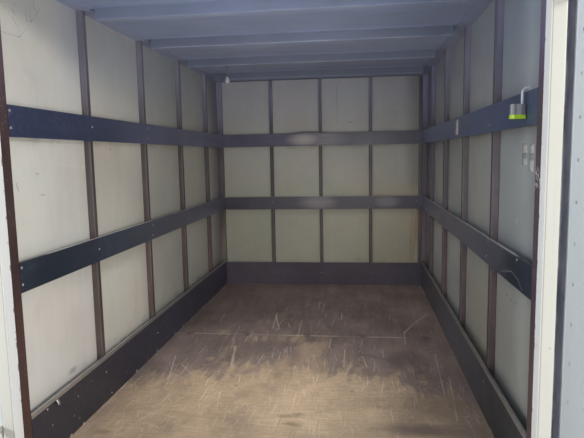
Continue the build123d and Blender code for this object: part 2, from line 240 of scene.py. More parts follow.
    def stroke(self, start, end, width, place=None):
        """A line between two points."""
        run = Vector(end) - Vector(start)
        away = self.vector("SUBTRACT", place or self.at, start)
        inputs = {0: away, 1: tuple(run / run.length_squared)}
        dot = self.node("VectorMath", inputs, operation="DOT_PRODUCT").outputs["Value"]
        along = self.scaled(tuple(run), self.node("Clamp", {0: dot}).outputs[0])
        return self.step(self.length(self.vector("SUBTRACT", away, along)), width, width * 0.4)

    def finish(self, rough, bump=None, depth=0.001, strength=0.6):
        self.tree.links.new(self.colour, self.shader.inputs["Base Color"])
        if isinstance(rough, bpy.types.NodeSocket):
            self.tree.links.new(rough, self.shader.inputs["Roughness"])
        else:
            self.shader.inputs["Roughness"].default_value = rough
        if bump is not None:
            made = self.node("Bump", {"Strength": strength, "Distance": depth, "Height": bump})
            self.tree.links.new(made.outputs[0], self.shader.inputs["Normal"])
        return self.material


# The wall sheets: pale inside and yellowed, with painted light and shade, and cream paint outside
outside_paint = (0.62, 0.61, 0.56)
road_dirt = (0.38, 0.355, 0.31)


def sheet_tones(f, front, right):
    """Each sheet has its own tone, partly its own yellowing and partly painted light: paler in the rear bay
    and darker further in, lighter low in the left wall's second bay, and bluer and darker on the right
    wall. All are painted bluer near the roof as painted sky light, and the left wall is also darker there
    as painted shade.
    """
    rear_bay = f.along(-0.95, -0.7)
    f.colour = f.mix(rear_bay, (0.745, 0.716, 0.648), (0.62, 0.582, 0.508))
    f.lay((0.497, 0.488, 0.428), f.along(-0.32, 0.02))
    f.lay((0.575, 0.553, 0.476), f.along(0.415, 0.44))
    f.lay(f.mix(f.along(-0.9, -0.7), (0.518, 0.554, 0.562), (0.552, 0.57, 0.545)), right)
    left_lower = f.mix(rear_bay, (1, 0.99, 1.01), (1.12, 1.14, 1.15))
    f.tint(f.mix(right, left_lower, (0.93, 0.885, 0.8)), f.up(0.92, 0.6), f.along(-0.2, -0.32))
    yellow = f.mix(f.across(-0.2, 0.7), (0.545, 0.53, 0.42), (0.552, 0.5, 0.37))
    f.lay(f.mix(f.up(1.25, 0.85), (0.608, 0.582, 0.512), yellow), front)
    left_top = f.mix(front, (0.82, 0.885, 1.04), (0.98, 1.03, 1.25))
    # Painted sky light and painted shade near the roof
    f.tint(f.mix(right, left_top, (0.94, 0.99, 1.12)), f.up(1.35, 1.8), f.most(right, f.along(-1.2, -0.55)))


def sheet_shadows(f, front, right):
    """Painted shade: the last bay and the end of the front wall are darkened as the dark of the corner, and
    more is painted high on the left wall, on the front wall, beside the right corner post, behind the right
    jamb and between the right wall's boards.
    """
    left = f.across(-0.86, -0.87)
    corner = f.times(f.along(1.06, 1.38), f.rest(front))
    left_corner_shade = f.vector("MULTIPLY", f.colour, (0.58, 0.54, 0.66))
    right_corner_shade = f.vector("MULTIPLY", f.colour, (0.6, 0.55, 0.72))
    last_bay = f.most(corner, f.times(right, f.along(1.04, 1.1), 0.85))
    f.lay(f.mix(right, left_corner_shade, right_corner_shade), last_bay)
    # Painted shade high in the left wall's rear bay, and across the middle of the front wall's right half
    f.darken(0.93, left, f.along(-0.82, -0.84), f.up(1.42, 1.6))
    f.darken(0.92, front, f.across(0, 0.02), f.up(0.9, 0.92), f.up(1.5, 1.34))
    # Painted shade at the front wall's right end, and a painted dark strip beside the right corner post as
    # its shaded edge
    f.tint((0.58, 0.6, 0.6), front, f.across(0.66, 0.8), f.up(0.9, 1.05), 0.9)
    f.lay((0.15, 0.125, 0.145), front, f.across(0.803, 0.811))
    # Painted shade, tinted bluer, high on the left wall just on the doors' side of its rearmost post
    high = f.up(1.45, 1.8, 0.3, 1)
    f.tint((0.84, 0.87, 0.93), left, f.along(-1.1, -0.9), f.along(-0.8, -0.82), high, 0.8)
    # Painted shadow on the right wall behind the rear jamb, and painted shade across it from its lower
    # board up to its upper board
    jamb = f.times(right, f.plus(f.along(-1.16, -1.28), f.along(-1.27, -1.37)))
    upper_board_shadow = f.times(f.up(1.24, 1.33), f.up(1.36, 1.34))
    board_shadows = f.times(right, f.most(upper_board_shadow, f.up(0.7, 0.8)), f.up(1.42, 1.36))
    f.shade(f.rest(f.plus(f.times(jamb, 0.28), f.times(board_shadows, 0.12))))


def sheet_marks(f, mottle):
    """Scribbles, dents drawn dark as painted shade, and scrapes that the photograph shows on the sheets."""
    warm = f.warped(14, 0.008)
    left = -side_face

    # Scribbles on the rear left sheet: start and end in y and z, and width
    scribbles = [
        (-1.347, 1.691, -1.305, 1.692, 0.0022), (-1.305, 1.692, -1.243, 1.693, 0.0026),
        (-1.277, 1.755, -1.253, 1.729, 0.002), (-1.266, 1.807, -1.253, 1.799, 0.0026),
        (-1.283, 1.786, -1.258, 1.764, 0.0022), (-1.268, 1.792, -1.262, 1.772, 0.0018),
        (-1.244, 1.739, -1.238, 1.712, 0.0013), (-1.24, 1.694, -1.183, 1.745, 0.0016),
        (-1.183, 1.745, -1.1, 1.824, 0.0012), (-1.197, 1.794, -1.191, 1.762, 0.0016),
        (-1.171, 1.821, -1.175, 1.764, 0.0016), (-1.14, 1.847, -1.14, 1.817, 0.0016),
        (-1.14, 1.817, -1.118, 1.808, 0.0014), (-1.166, 1.802, -1.162, 1.764, 0.0016),
        (-1.205, 1.815, -1.182, 1.8, 0.0014), (-1.15, 1.835, -1.16, 1.805, 0.0014),
        (-1.308, 1.666, -1.285, 1.672, 0.0016), (-1.285, 1.672, -1.29, 1.658, 0.0014),
        (-1.278, 1.668, -1.264, 1.66, 0.0014), (-1.322, 1.18, -1.312, 1.152, 0.0028),
        (-1.19, 1.13, -1.158, 1.126, 0.003), (-1.205, 1.21, -1.18, 1.207, 0.0024),
    ]
    dark = [f.stroke((left, a, b), (left, c, d), width, warm) for a, b, c, d, width in scribbles]

    # Dents, drawn as dark spots of painted shade in their hollows: the sheet, then a place and its radii in
    # y and z
    dents = [
        (left, 0.01, -1.241, 1.694, 0.006, 0.005), (left, 0.01, -1.189, 1.762, 0.005, 0.005),
        (left, 0.01, -1.168, 1.766, 0.004, 0.004), (left, 0.01, -0.583, 1.307, 0.008, 0.008),
        (left, 0.01, -0.65, 1.28, 0.004, 0.004), (side_face, 0.02, -0.985, 0.717, 0.009, 0.009),
        (side_face, 0.02, -1.04, 0.711, 0.008, 0.009), (side_face, 0.02, -1.098, 0.715, 0.008, 0.01),
    ]
    dark += [f.blot((sheet, y, z), (deep, ry, rz)) for sheet, deep, y, z, ry, rz in dents]
    dark += [
        f.blot((left, -1.04, 0.385), (0.03, 0.05, 0.02), 0.9, warm),
        f.stroke((0.139, front_face, 1.833), (0.142, front_face, 1.506), 0.003, warm),
        f.stroke((0.21, front_face, 1.532), (0.262, front_face, 1.528), 0.005, warm),
    ]
    f.lay((0.1, 0.09, 0.12), f.most(*dark), f.step(mottle, 0.25, 0.6), 0.55)
    light = f.most(
        f.blot((side_face, -1.085, 1.013), (0.02, 0.009, 0.011)),
        f.stroke((left, -1.035, 1.239), (left, -0.835, 1.226), 0.002, warm),
    )
    f.lay((0.85, 0.85, 0.83), light, 0.5)


def wall_sheet():
    f = Finish("wall_sheet")
    fibre = f.streaks(f.wall, 30, 1.6)
    cloud = f.noise(1.4, 5, 0.6)
    mottle = f.noise(7, 4, 0.6)
    front = f.along(front_face - 0.02, front_face - 0.01)
    right = f.across(side_face - 0.009, side_face - 0.004)
    sheet_tones(f, front, right)
    tone = f.plus(f.step(cloud, 0.3, 0.75, 1.05, 0.92), f.step(fibre, 0.3, 0.75, -0.015, 0.02))
    f.shade(f.plus(tone, f.step(mottle, 0.45, 0.8, 0, -0.06)))
    hue = f.step(f.noise(2.6, 3, 0.5, place=f.wall), 0.35, 0.65)
    greener = f.vector("MULTIPLY", f.colour, (0.985, 1.005, 1))
    redder = f.vector("MULTIPLY", f.colour, (1.035, 0.985, 0.97))
    f.colour = f.mix(f.times(hue, 0.8), greener, redder)
    sheet_shadows(f, front, right)

    # A mottled band just above the kick caps is made darker, and painted shadow lies in a band under the
    # upper boards
    over_cap = f.times(f.up(kick_top + 0.035, kick_top), f.step(mottle, 0.5, 0.72))
    under = f.times(f.up(1.3, 1.338), f.up(1.36, 1.34), f.step(mottle, 0.35, 0.7))
    f.lay((0.22, 0.205, 0.18), f.most(f.times(over_cap, 0.22), f.times(under, 0.3)))
    sheet_marks(f, mottle)
    rusty = f.blot((0.775, front_face, 0.6), (0.065, 0.05, 0.62), 0.8, f.warped(2.5, 0.12))
    f.lay((0.36, 0.22, 0.08), rusty, f.step(f.streaks(f.wall, 60, 2), 0.36, 0.62), 0.6)
    smears = f.step(f.streaks(f.wall, 5, 1.1, 3), 0.55, 0.75)
    f.lay((0.28, 0.27, 0.25), smears, f.step(mottle, 0.4, 0.6), 0.12)

    # The outer half of each sheet's thickness is its outside
    side_outside = f.out(side_face + 0.0025, side_face + 0.0035)
    front_outside = f.along(front_face + 0.0025, front_face + 0.0035)
    outside = f.most(side_outside, front_outside)
    spray = f.times(f.up(0.75, 0.1), f.vary(cloud, 0, 1))
    streaks = f.step(f.streaks(f.wall, 24, 0.7), 0.55, 0.8, 0, 0.22)
    f.lay(f.mix(f.most(f.times(spray, 0.6), streaks), outside_paint, road_dirt), outside)
    bump = f.plus(f.times(fibre, 0.1), f.times(cloud, 1.5))
    rough = f.plus(f.vary(cloud, 0.36, 0.5), f.times(outside, 0.14))
    return f.finish(rough, bump, 0.004, 0.3)


# The posts and bottom rails, redder at the rear, with painted light: lighter and bluer towards the roof and
# the front, warmer low down, a painted highlight along their edges and painted shade on their inner faces
def brown_primer():
    f = Finish("brown_primer")
    cloud = f.noise(4, 5, 0.6)
    drips = f.streaks(f.wall, 50, 3)
    right = f.across(0.7, 0.84)
    front = f.along(1.2, 1.3)
    f.colour = f.mix(right, (0.109, 0.088, 0.088), (0.12, 0.098, 0.108))
    f.shade(f.plus(f.vary(cloud, 0.85, 1.1), f.step(drips, 0.45, 0.8, -0.06, 0.3)))
    # Painted light: lighter and bluer towards the roof and the front wall, warmer low down, and lighter or
    # darker on the front posts by where they stand
    f.tint((1.08, 1.2, 1.52), f.up(1.28, 1.62))
    f.tint((2.35, 2.5, 2.45), f.up(1.33, 1.85))
    f.tint((1.12, 1.14, 1.22), f.along(0.5, 1))
    f.tint((1.2, 1.04, 0.93), f.up(1, 0.6))
    f.tint((1.2, 1.22, 1.22), front)
    f.tint((0.7, 0.68, 0.7), front, f.out(0.66, 0.6))
    rear_tint = f.mix(right, (0.76, 0.53, 0.52), (0.9, 0.78, 0.9))
    f.tint(rear_tint, f.along(-1.36, -1.39))
    f.tint((1.45, 1.65, 1.5), front, f.up(0.8, 0.5), f.across(0.2, -0.4, 0.4, 1))

    # Painted shade on the side posts' inner faces
    shaded_crown = f.out(post_face + 0.0015, post_face + 0.0008)
    shaded_crown = f.times(shaded_crown, f.along(front_post_face - 0.02, front_post_face - 0.03))
    f.shade(f.rest(f.times(shaded_crown, 0.28)))
    # A painted highlight along the side posts' rounded edges, broken up by noise
    edge = f.times(f.near(f.side, post_face + 0.0045, 0.004, 0.6), f.step(drips, 0.36, 0.55))
    f.lay((0.185, 0.16, 0.162), edge, f.along(1.1, 0.6), 0.6)
    scuffs = f.dots(f.warped(30, 0.01, f.wall), 60, 0.26, 0.2)
    f.lay((0.24, 0.21, 0.2), scuffs, f.step(cloud, 0.45, 0.6), 0.35)
    chipped = f.blot((post_face, -1.425, 1.175), (0.03, 0.05, 0.055), 0.6)
    f.lay((0.62, 0.6, 0.57), chipped, f.step(f.noise(70, 4, 0.6), 0.54, 0.6))
    f.lay((0.2, 0.165, 0.13), f.up(0.34, 0.16), f.step(f.noise(20, 4), 0.4, 0.65), 0.6)
    return f.finish(f.vary(cloud, 0.38, 0.52), f.noise(55, 4), 0.0008, 0.4)


# The ceiling panel, its bows and the cant rails, with painted light and shade
def roof_lining():
    f = Finish("roof_lining")
    cloud = f.noise(1.3, 5, 0.6)
    fine = f.streaks(f.plan, 3, 24)
    # Painted light: paler towards the front, offsetting the light that falls off into the box
    f.colour = f.mix(f.along(-0.8, 0.9), (0.35, 0.415, 0.61), (0.495, 0.558, 0.755))
    f.tint((0.9, 0.9, 0.93), f.along(0.1, 0.8))
    cant = f.out(cant_inner - 0.001, cant_inner + 0.001)
    bow = f.rest(cant)
    # Painted highlight along the bows' lower edges, broken up by streaks
    bow_edge_highlight = f.near(f.z, bow_foot + 0.002, 0.004, 0.5)
    bow_edge_highlight = f.times(bow_edge_highlight, f.step(f.streaks(f.plan, 5, 60), 0.36, 0.58))
    above_foot = f.up(bow_foot + 0.0008, bow_foot + 0.0015)
    # Painted shade on the bows' faces, darker towards the front, and on their undersides towards the front
    bow_face = f.times(f.up(panel_face - 0.001, panel_face - 0.003), above_foot)
    f.lay((0.385, 0.43, 0.6), cant, 0.8)
    bow_face_shade = f.mix(f.along(-0.7, -0.3), (0.275, 0.312, 0.435), (0.195, 0.218, 0.3))
    f.lay(bow_face_shade, bow_face, bow)
    under = f.up(bow_foot + 0.0008, bow_foot + 0.0002)
    f.darken(0.82, under, bow, f.along(-0.5, 0.2))
    f.lay((0.43, 0.46, 0.58), bow_edge_highlight, bow, 0.6)
    f.shade(f.plus(f.vary(cloud, 0.93, 1.07), f.step(fine, 0.4, 0.8, 0.02, -0.12)))
    return f.finish(f.vary(cloud, 0.5, 0.66), f.noise(8, 4), 0.003, 0.35)


# The rub boards and kick boards, blacker near the doors and painted greyer towards the front, as painted
# haze and sheen
def left_board_tones(f, upper, kick, inner):
    # Painted haze and sheen: the left boards greyer and bluer further in
    low = f.mix(inner, (0.023, 0.031, 0.047), (0.15, 0.146, 0.205))
    high = f.mix(inner, (0.034, 0.043, 0.084), (0.205, 0.205, 0.3))
    foot = f.mix(inner, (0.028, 0.027, 0.041), (0.072, 0.07, 0.106))
    f.colour = f.mix(kick, f.mix(upper, low, high), foot)
    # Painted shade on the left boards ahead of the doors, above the kick board
    over_kick = f.up(kick_top + 0.01, kick_top + 0.02)
    f.tint((0.76, 0.78, 0.86), f.near(f.y, -0.5, 0.3, 1), over_kick)
    return f.colour


def right_board_tones(f, upper, kick, inner):
    # Painted haze and sheen: the right boards greyer and bluer further in, blackest by the doors
    low = f.mix(f.along(-1, -0.1), (0.08, 0.084, 0.122), (0.149, 0.148, 0.2))
    low = f.mix(f.along(0.2, 1.3), low, (0.205, 0.21, 0.31))
    high = f.mix(inner, (0.087, 0.116, 0.214), (0.295, 0.33, 0.51))
    by_doors = f.mix(upper, (0.021, 0.031, 0.052), (0.054, 0.076, 0.13))
    foot = f.mix(f.along(-1.2, 0), (0.032, 0.04, 0.05), (0.136, 0.134, 0.16))
    tone = f.mix(f.along(-1.21, -0.98), by_doors, f.mix(upper, low, high))
    return f.mix(kick, tone, foot)


def front_board_tones(f, upper, kick):
    # Painted sheen: the front boards greyer than the side ones, the upper one lighter on the left
    high = f.mix(f.across(-0.4, -0.1), (0.14, 0.13, 0.185), (0.104, 0.098, 0.138))
    foot = f.mix(f.across(-0.6, -0.1), (0.12, 0.1, 0.12), (0.092, 0.077, 0.098))
    return f.mix(kick, f.mix(upper, (0.094, 0.085, 0.105), high), foot)


def board_black():
    f = Finish("board_black")
    cloud = f.noise(2.2, 5, 0.6)
    grain = f.streaks(f.wall, 1.5, 46, 4, 0.65)
    bent = f.warped(2, 0.05, f.wall)
    kick = f.up(kick_top + 0.02, kick_top)
    upper = f.up(1, 1.3)
    inner = f.along(-1.1, 1.3)
    front = f.along(front_board - 0.015, front_board - 0.002)
    left_side = left_board_tones(f, upper, kick, inner)
    right_side = right_board_tones(f, upper, kick, inner)
    base = f.mix(f.across(0.8, 0.82), left_side, right_side)
    base = f.mix(front, base, front_board_tones(f, upper, kick))
    f.colour = f.scaled(base, f.plus(f.step(cloud, 0.3, 0.75, 0.88, 1.25), f.vary(grain, -0.05, 0.06)))

    # Pale spots on the front boards: x and z, radii, edge and strength
    spots = [
        (0.02, 1.39, 0.26, 0.1, 0.8, 0.35), (-0.03, 0.865, 0.22, 0.09, 0.9, 0.4),
        (0.55, 0.865, 0.14, 0.07, 0.8, 0.3),
    ]
    pale_spots = [f.blot((-0.135, front_board, 1.392), (0.19, 0.1, 0.075), 0.9)]
    for x, z, wide, high, edge, strength in spots:
        pale_spots.append(f.times(f.blot((x, front_board, z), (wide, 0.1, high), edge), strength))
    f.lay((0.74, 0.65, 0.62), front, f.most(*pale_spots), f.step(grain, 0.25, 0.65, 0.7, 1), 0.9)

    # Scratches: direction, cells across and along, share of the cells
    ways = ((1.1, 120, 9, 0.3), (0.2, 120, 10, 0.25), (-0.6, 110, 12, 0.25))
    scratch = f.most(*[f.scratches(bent, *way) for way in ways])
    f.lay((0.22, 0.21, 0.21), scratch, f.step(cloud, 0.35, 0.6), 0.4)
    sides = f.rest(front)
    specks = f.times(f.dots(f.warped(60, 0.008, f.wall), 26, 0.14, 0.1), kick, sides)
    chips = f.dots(f.warped(40, 0.02, f.wall), 20, 0.3, 0.3)
    foot = f.times(f.up(deck_top + 0.022, deck_top), chips, sides)
    f.lay((0.48, 0.45, 0.41), f.most(f.times(specks, 0.6), foot))
    lower_top = f.times(f.up(0.9112, 0.9128), f.up(0.95, 0.92))
    f.lay((0.66, 0.62, 0.62), lower_top, f.along(-1.26, -1.2), f.step(grain, 0.3, 0.6, 0.5, 1), 0.75)

    # The scraped arc on the right lower board, and two nicks beside it, in y and z
    arc = [(-1.051, 0.822), (-1.118, 0.838), (-1.19, 0.851), (-1.27, 0.838), (-1.31, 0.815)]
    marks = [*zip(arc, arc[1:]), ((-0.863, 0.909), (-0.865, 0.887)), ((-0.838, 0.87), (-0.842, 0.86))]
    scrape = f.most(*[f.stroke((board_face, *start), (board_face, *end), 0.0028) for start, end in marks])
    f.lay((0.27, 0.28, 0.32), scrape, 0.6)
    bump = f.plus(f.times(grain, 0.5), f.times(cloud, 1.5))
    return f.finish(f.vary(cloud, 0.32, 0.46), bump, 0.0025, 0.3)


# The deck: brown film worn through to tan wood, scratched all over
def deck_blots(f, rows, place=None):
    """Soft patches on the deck: x and y, radii and edge."""
    return [f.blot((x, y, deck_top), (wide, long, 1), edge, place) for x, y, wide, long, edge in rows]


def deck_stroke(f, x0, y0, x1, y1, width, place=None):
    return f.stroke((x0, y0, deck_top), (x1, y1, deck_top), width, place)


def worn_through(f, patch, blotch, streak):
    """The film is gone inside the doors as far as a ragged arch, and in patches behind the seam."""
    arch = f.times(f.math("POWER", f.math("ABSOLUTE", f.plus(f.x, 0.02)), 2), 0.5)
    ragged = f.plus(f.vary(patch, -0.13, 0.13), f.vary(streak, -0.12, 0.12))
    rear = f.times(
        f.step(f.plus(f.plus(f.y, arch), ragged), -0.24, -0.5),
        f.across(0.8, 0.62, 0.4, 1),
        f.across(-0.83, -0.7, 0.65, 1),
        f.step(blotch, 0.3, 0.48, 0.72, 1),
    )
    tongue = f.times(f.near(f.x, 0.05, 0.14, 0.2), f.along(0.17, 0.02))
    tongue = f.times(tongue, f.step(streak, 0.38, 0.56, 0, 0.9), f.step(patch, 0.3, 0.5, 0.3, 1))
    patches = [
        (-0.28, 0.04, 0.12, 0.08, 0.9), (-0.05, 0.05, 0.16, 0.12, 0.9), (-0.54, 0.16, 0.08, 0.05, 0.9),
        (-0.43, -0.14, 0.05, 0.26, 0.9), (0.62, -0.3, 0.1, 0.26, 0.9),
    ]
    behind = f.times(f.most(*deck_blots(f, patches)), f.step(streak, 0.42, 0.6, 0, 0.75))
    return f.most(rear, f.times(tongue, 0.7), behind)


def film_and_wood(f, worn, patch, blotch, streak, grain):
    fibre = f.streaks(f.warped(6, 0.01, f.plan), 9, 120, 5, 0.7)
    film = f.mix(f.vary(patch, 0, 1), (0.206, 0.156, 0.142), (0.24, 0.18, 0.152))
    film = f.scaled(film, f.plus(f.step(streak, 0.28, 0.72, 0.84, 1.16), f.vary(blotch, -0.2, 0.18)))
    # Painted sheen: the film lighter in a strip along the right side near the doors, and towards the front
    sheen_lane = f.times(f.across(0.52, 0.8), f.along(-0.6, -0.1))
    film = f.scaled(film, f.plus(f.step(sheen_lane, 0, 1, 1, 1.35), f.along(0.75, 1.45, 0, 0.3)))
    middle = f.blot((0.18, -0.85, deck_top), (0.48, 0.6, 1), 0.8)
    tan = f.mix(middle, (0.445, 0.323, 0.213), (0.59, 0.436, 0.288))
    tan = f.scaled(tan, f.plus(f.vary(patch, 0.86, 1.12), f.vary(blotch, -0.09, 0.09)))
    f.colour = f.scaled(f.mix(worn, film, tan), f.step(grain, 0.45, 0.85, 1.02, 0.86))
    fibres = f.plus(0.5, f.times(worn, f.math("SUBTRACT", fibre, 0.5)))
    f.shade(f.step(fibres, 0.38, 0.7, 1.1, 0.84))
    f.lay((0.12, 0.092, 0.076), f.step(streak, 0.54, 0.72), f.step(patch, 0.48, 0.62), 0.3)


def deck_scratches(f, worn, bent, runs, patch, blotch):
    """Long fine scratches along the body, and short ones in all directions inside the doors."""
    light = f.mix(worn, (0.56, 0.47, 0.42), (0.84, 0.7, 0.55))
    not_ends = f.times(f.along(1.3, 0.6, 0.25, 1), f.along(-1.1, -0.5, 0.5, 1))
    where = f.times(not_ends, f.step(blotch, 0.35, 0.6, 0.5, 1))
    f.lay(light, f.most(*runs), where, 0.8)
    near_doors = f.times(f.along(0.3, -0.35), f.along(-1.2, -0.95, 0.6, 1))
    finest = f.lines(f.vector("ADD", bent, (7.1, 5.2, 0)), 32, 0.05, 0.52)
    net = f.most(
        f.lines(bent, 9, 0.02, 0.5),
        f.lines(f.vector("MULTIPLY", bent, (1, 0.55, 1)), 14, 0.024, 0.5),
        f.lines(f.vector("ADD", bent, (3.3, 1.7, 0)), 19, 0.034, 0.48),
        f.times(finest, 0.7),
    )
    busy = f.step(f.noise(4, 3, place=f.plan), 0.42, 0.58, 0.35, 1)
    f.lay(light, net, near_doors, busy, 0.48)
    dark_lines = f.lines(f.vector("ADD", bent, (5.2, 8.4, 0)), 12, 0.022, 0.54)
    dark = f.most(f.scratches(bent, 0.05, 64, 2.4, 0.22, 0.13), f.times(dark_lines, near_doors))
    f.lay((0.11, 0.083, 0.07), dark, 0.32)

    # Those that the photograph shows one by one, with their starts and ends in x and y
    bare_wood = (0.6, 0.5, 0.42)
    rows = [
        (-0.262, 0.585, -0.247, 0.47, 0.0055), (-0.247, 0.47, -0.189, 0.215, 0.0055),
        (-0.262, 0.585, -0.236, 0.24, 0.004), (0.773, 0.6, 0.683, 0.433, 0.007),
        (0.683, 0.433, 0.593, 0.215, 0.0065),
    ]
    by_left = f.times(deck_stroke(f, -0.408, -0.1, -0.351, -0.405, 0.011, f.warped(9, 0.02)), 0.7)
    by_right = f.times(deck_stroke(f, 0.593, 0.215, 0.58, 0, 0.005), 0.6)
    wide = f.most(by_left, *[deck_stroke(f, *row) for row in rows], by_right)
    f.lay(bare_wood, wide, f.step(patch, 0.3, 0.55, 0.25, 0.85))
    thin = [
        (-0.708, -0.267, -0.631, -0.6), (-0.63, -0.395, -0.53, -0.52), (-0.593, -0.42, -0.593, -0.535),
        (-0.625, 0.536, -0.612, 0.356), (-0.15, 0.344, -0.131, 0.28), (-0.067, 0.42, -0.06, 0.087),
        (0.196, 0.62, 0.196, 0.446), (0.02, 0.9, 0.026, 0.7), (0.06, 0.86, 0.058, 0.64),
        (0.144, 0.087, 0.144, -0.09), (-0.458, 0.28, -0.445, 0), (0.234, -0.1, 0.234, -0.37),
        (0.33, -0.2, 0.356, -0.355), (0.273, -0.28, 0.247, -0.47), (0.728, -0.14, 0.702, -0.65),
        (0.755, -0.45, 0.715, -0.9), (-0.52, -0.46, -0.62, -0.64), (-0.66, -0.5, -0.56, -0.57),
        (0.42, -0.56, 0.56, -0.64), (0.3, -0.6, 0.42, -0.48),
    ]
    narrow = f.most(*[deck_stroke(f, *row, 0.0042) for row in thin])
    f.lay(bare_wood, narrow, f.step(patch, 0.3, 0.55, 0.15, 0.65))


def deck_stains(f):
    soft = f.warped(9, 0.05)
    oily = [
        (0.61, -0.43, 0.1, 0.13, 0.8), (0.55, -0.25, 0.2, 0.22, 0.9),
        (-0.41, 0.37, 0.07, 0.08, 0.9), (-0.15, 0.52, 0.06, 0.07, 0.9),
    ]
    trail = deck_stroke(f, 0.33, -0.18, 0.53, -0.285, 0.03, soft)
    f.lay((0.115, 0.092, 0.092), f.most(trail, *deck_blots(f, oily, soft)), 0.42)
    round_spots = deck_blots(f, [(-0.28, -0.635, 0.012, 0.018, 0.7), (0.28, -0.655, 0.012, 0.018, 0.7)])
    rows = [
        (0, -0.915, 0.085, 0.03, 0.8), (0.045, -0.9, 0.04, 0.022, 0.8),
        (0.03, -0.985, 0.06, 0.022, 0.8), (-0.72, -1.115, 0.05, 0.03, 0.8),
    ]
    pale, second, third, by_door = deck_blots(f, rows, soft)
    spots = f.most(*round_spots, f.times(pale, 0.8), second, f.times(third, 0.9), by_door)
    f.lay((0.2, 0.14, 0.085), spots, 0.55)
    rows = [(0.56, -0.99, 0.28, 0.085, 0.9), (0.62, -0.78, 0.2, 0.22, 0.9)]
    smudge, faint = deck_blots(f, rows, soft)
    f.lay((0.15, 0.11, 0.11), f.most(smudge, f.times(faint, 0.5)), 0.7)

    # The seam's splintered edge, and a dark patch round each of its nails
    ragged = f.step(f.streaks(f.plan, 7, 60, 3), 0.3, 0.55)
    seam = f.times(f.near(f.y, deck_seam + 0.002, 0.013, 0.3), f.across(0.7, 0.55), ragged)
    tan_parts = f.most(f.near(f.x, -0.6, 0.16), f.near(f.x, -0.02, 0.27, 0.6), f.near(f.x, 0.48, 0.14))
    f.lay((0.52, 0.43, 0.34), seam, f.step(tan_parts, 0, 1, 0.35, 0.85))
    nails = [(x, deck_seam + 0.005, 0.036, 0.05, 0.95) for x in (-0.75, -0.38, -0.005, 0.335, 0.71)]
    f.lay((0.09, 0.07, 0.064), f.most(*deck_blots(f, nails, soft)), 0.65)


def deck_plywood():
    f = Finish("deck_plywood")
    bent = f.warped(3, 0.06, f.plan)
    patch = f.noise(6, 6, 0.68, place=f.plan)
    blotch = f.noise(3.2, 5, 0.62, (1, 0.7, 1), f.plan)
    streak = f.streaks(f.warped(2.5, 0.1, f.plan), 15, 2.4, 5, 0.62)
    grain = f.streaks(f.plan, 170, 6, 4, 0.65)
    worn = worn_through(f, patch, blotch, streak)
    film_and_wood(f, worn, patch, blotch, streak, grain)

    # Runs of scratches: direction, cells across and along, share of the cells
    ways = ((0.03, 52, 1.3, 0.26), (-0.09, 60, 1.9, 0.24), (0.15, 72, 2.6, 0.2), (-0.26, 80, 3.4, 0.18))
    runs = [f.scratches(bent, *way, 0.13) for way in ways]
    deck_scratches(f, worn, bent, runs, patch, blotch)
    deck_stains(f)
    below = f.up(deck_top - 0.004, deck_top - 0.008)
    f.lay(f.mix(grain, (0.16, 0.11, 0.07), (0.26, 0.19, 0.12)), below)
    bump = f.plus(f.times(grain, 0.5), f.times(f.most(*runs[:2]), -0.6))
    return f.finish(f.vary(patch, 0.46, 0.66), bump, 0.0012, 0.5)


# The rear frame, hinges and keepers, chipped along the edges that loads and doors touch
def cream_paint():
    f = Finish("cream_paint", coat=0.15)
    cloud = f.noise(3, 5, 0.6)
    broken = f.noise(24, 5, 0.7)
    rough_edge = f.warped(28, 0.02)
    f.colour = f.mix(f.step(cloud, 0.35, 0.75, 0, 0.35), (0.7, 0.675, 0.59), (0.64, 0.612, 0.525))
    # Painted shade: the left side of the frame darker than the right
    f.shade(f.across(-0.5, 0.5, 0.82, 1))
    # Painted light: the reveals round the opening whiter than the rest of the frame
    opening = f.times(f.out(board_face + 0.001, board_face + 0.0002), f.up(0.2, 0.25))
    f.lay((0.9, 0.9, 0.89), opening, f.up(header_foot + 0.001, header_foot - 0.001), 0.85)
    f.lay((0.5, 0.47, 0.39), f.step(f.streaks(f.wall, 40, 2), 0.55, 0.85, 0, 0.22))

    chips = f.times(f.dots(f.warped(40, 0.012, f.wall), 22, 0.14, 0.12), f.step(cloud, 0.45, 0.6))
    outer_edge = f.times(
        f.out(0.872, 0.88),
        f.out(side_outer + 0.0015, side_outer + 0.0005),
        f.along(rear_face + 0.01, rear_face + 0.004),
        f.step(broken, 0.49, 0.54),
    )
    inner_edge = f.times(f.along(rear_face + 0.038, rear_face + 0.043), f.step(broken, 0.54, 0.59))
    top = f.times(f.up(1.74, 1.8), f.out(0.845, 0.865), f.step(broken, 0.5, 0.56))
    bare = f.most(chips, f.times(f.most(outer_edge, top), 0.85), f.times(inner_edge, 0.8))
    f.lay((0.13, 0.105, 0.095), bare)
    # Painted shade in the fold between the reveal and the rear face
    crease_shade = f.near(f.side, board_face + 0.0045, 0.0013)
    f.lay((0.24, 0.225, 0.2), crease_shade, f.along(rear_face + 0.004, rear_face), 0.7)
    bleed = f.most(
        f.blot((0.84, rear_face, 0.235), (0.014, 0.03, 0.03), 0.8, rough_edge),
        f.blot((-0.89, -1.52, 0.345), (0.02, 0.03, 0.045), 0.9, rough_edge),
        f.blot((0.3, rear_face, 0.1), (0.12, 0.03, 0.03), 0.9, rough_edge),
    )
    f.lay((0.48, 0.3, 0.1), bleed, 0.75)
    sill_top = f.times(f.up(0.15, 0.158), f.up(0.2, 0.19), f.out(0.84, 0.82))
    f.lay((0.22, 0.19, 0.165), sill_top, f.step(f.noise(12, 4), 0.35, 0.6), 0.85)
    return f.finish(f.vary(cloud, 0.28, 0.45), f.noise(18, 3), 0.0012, 0.35)


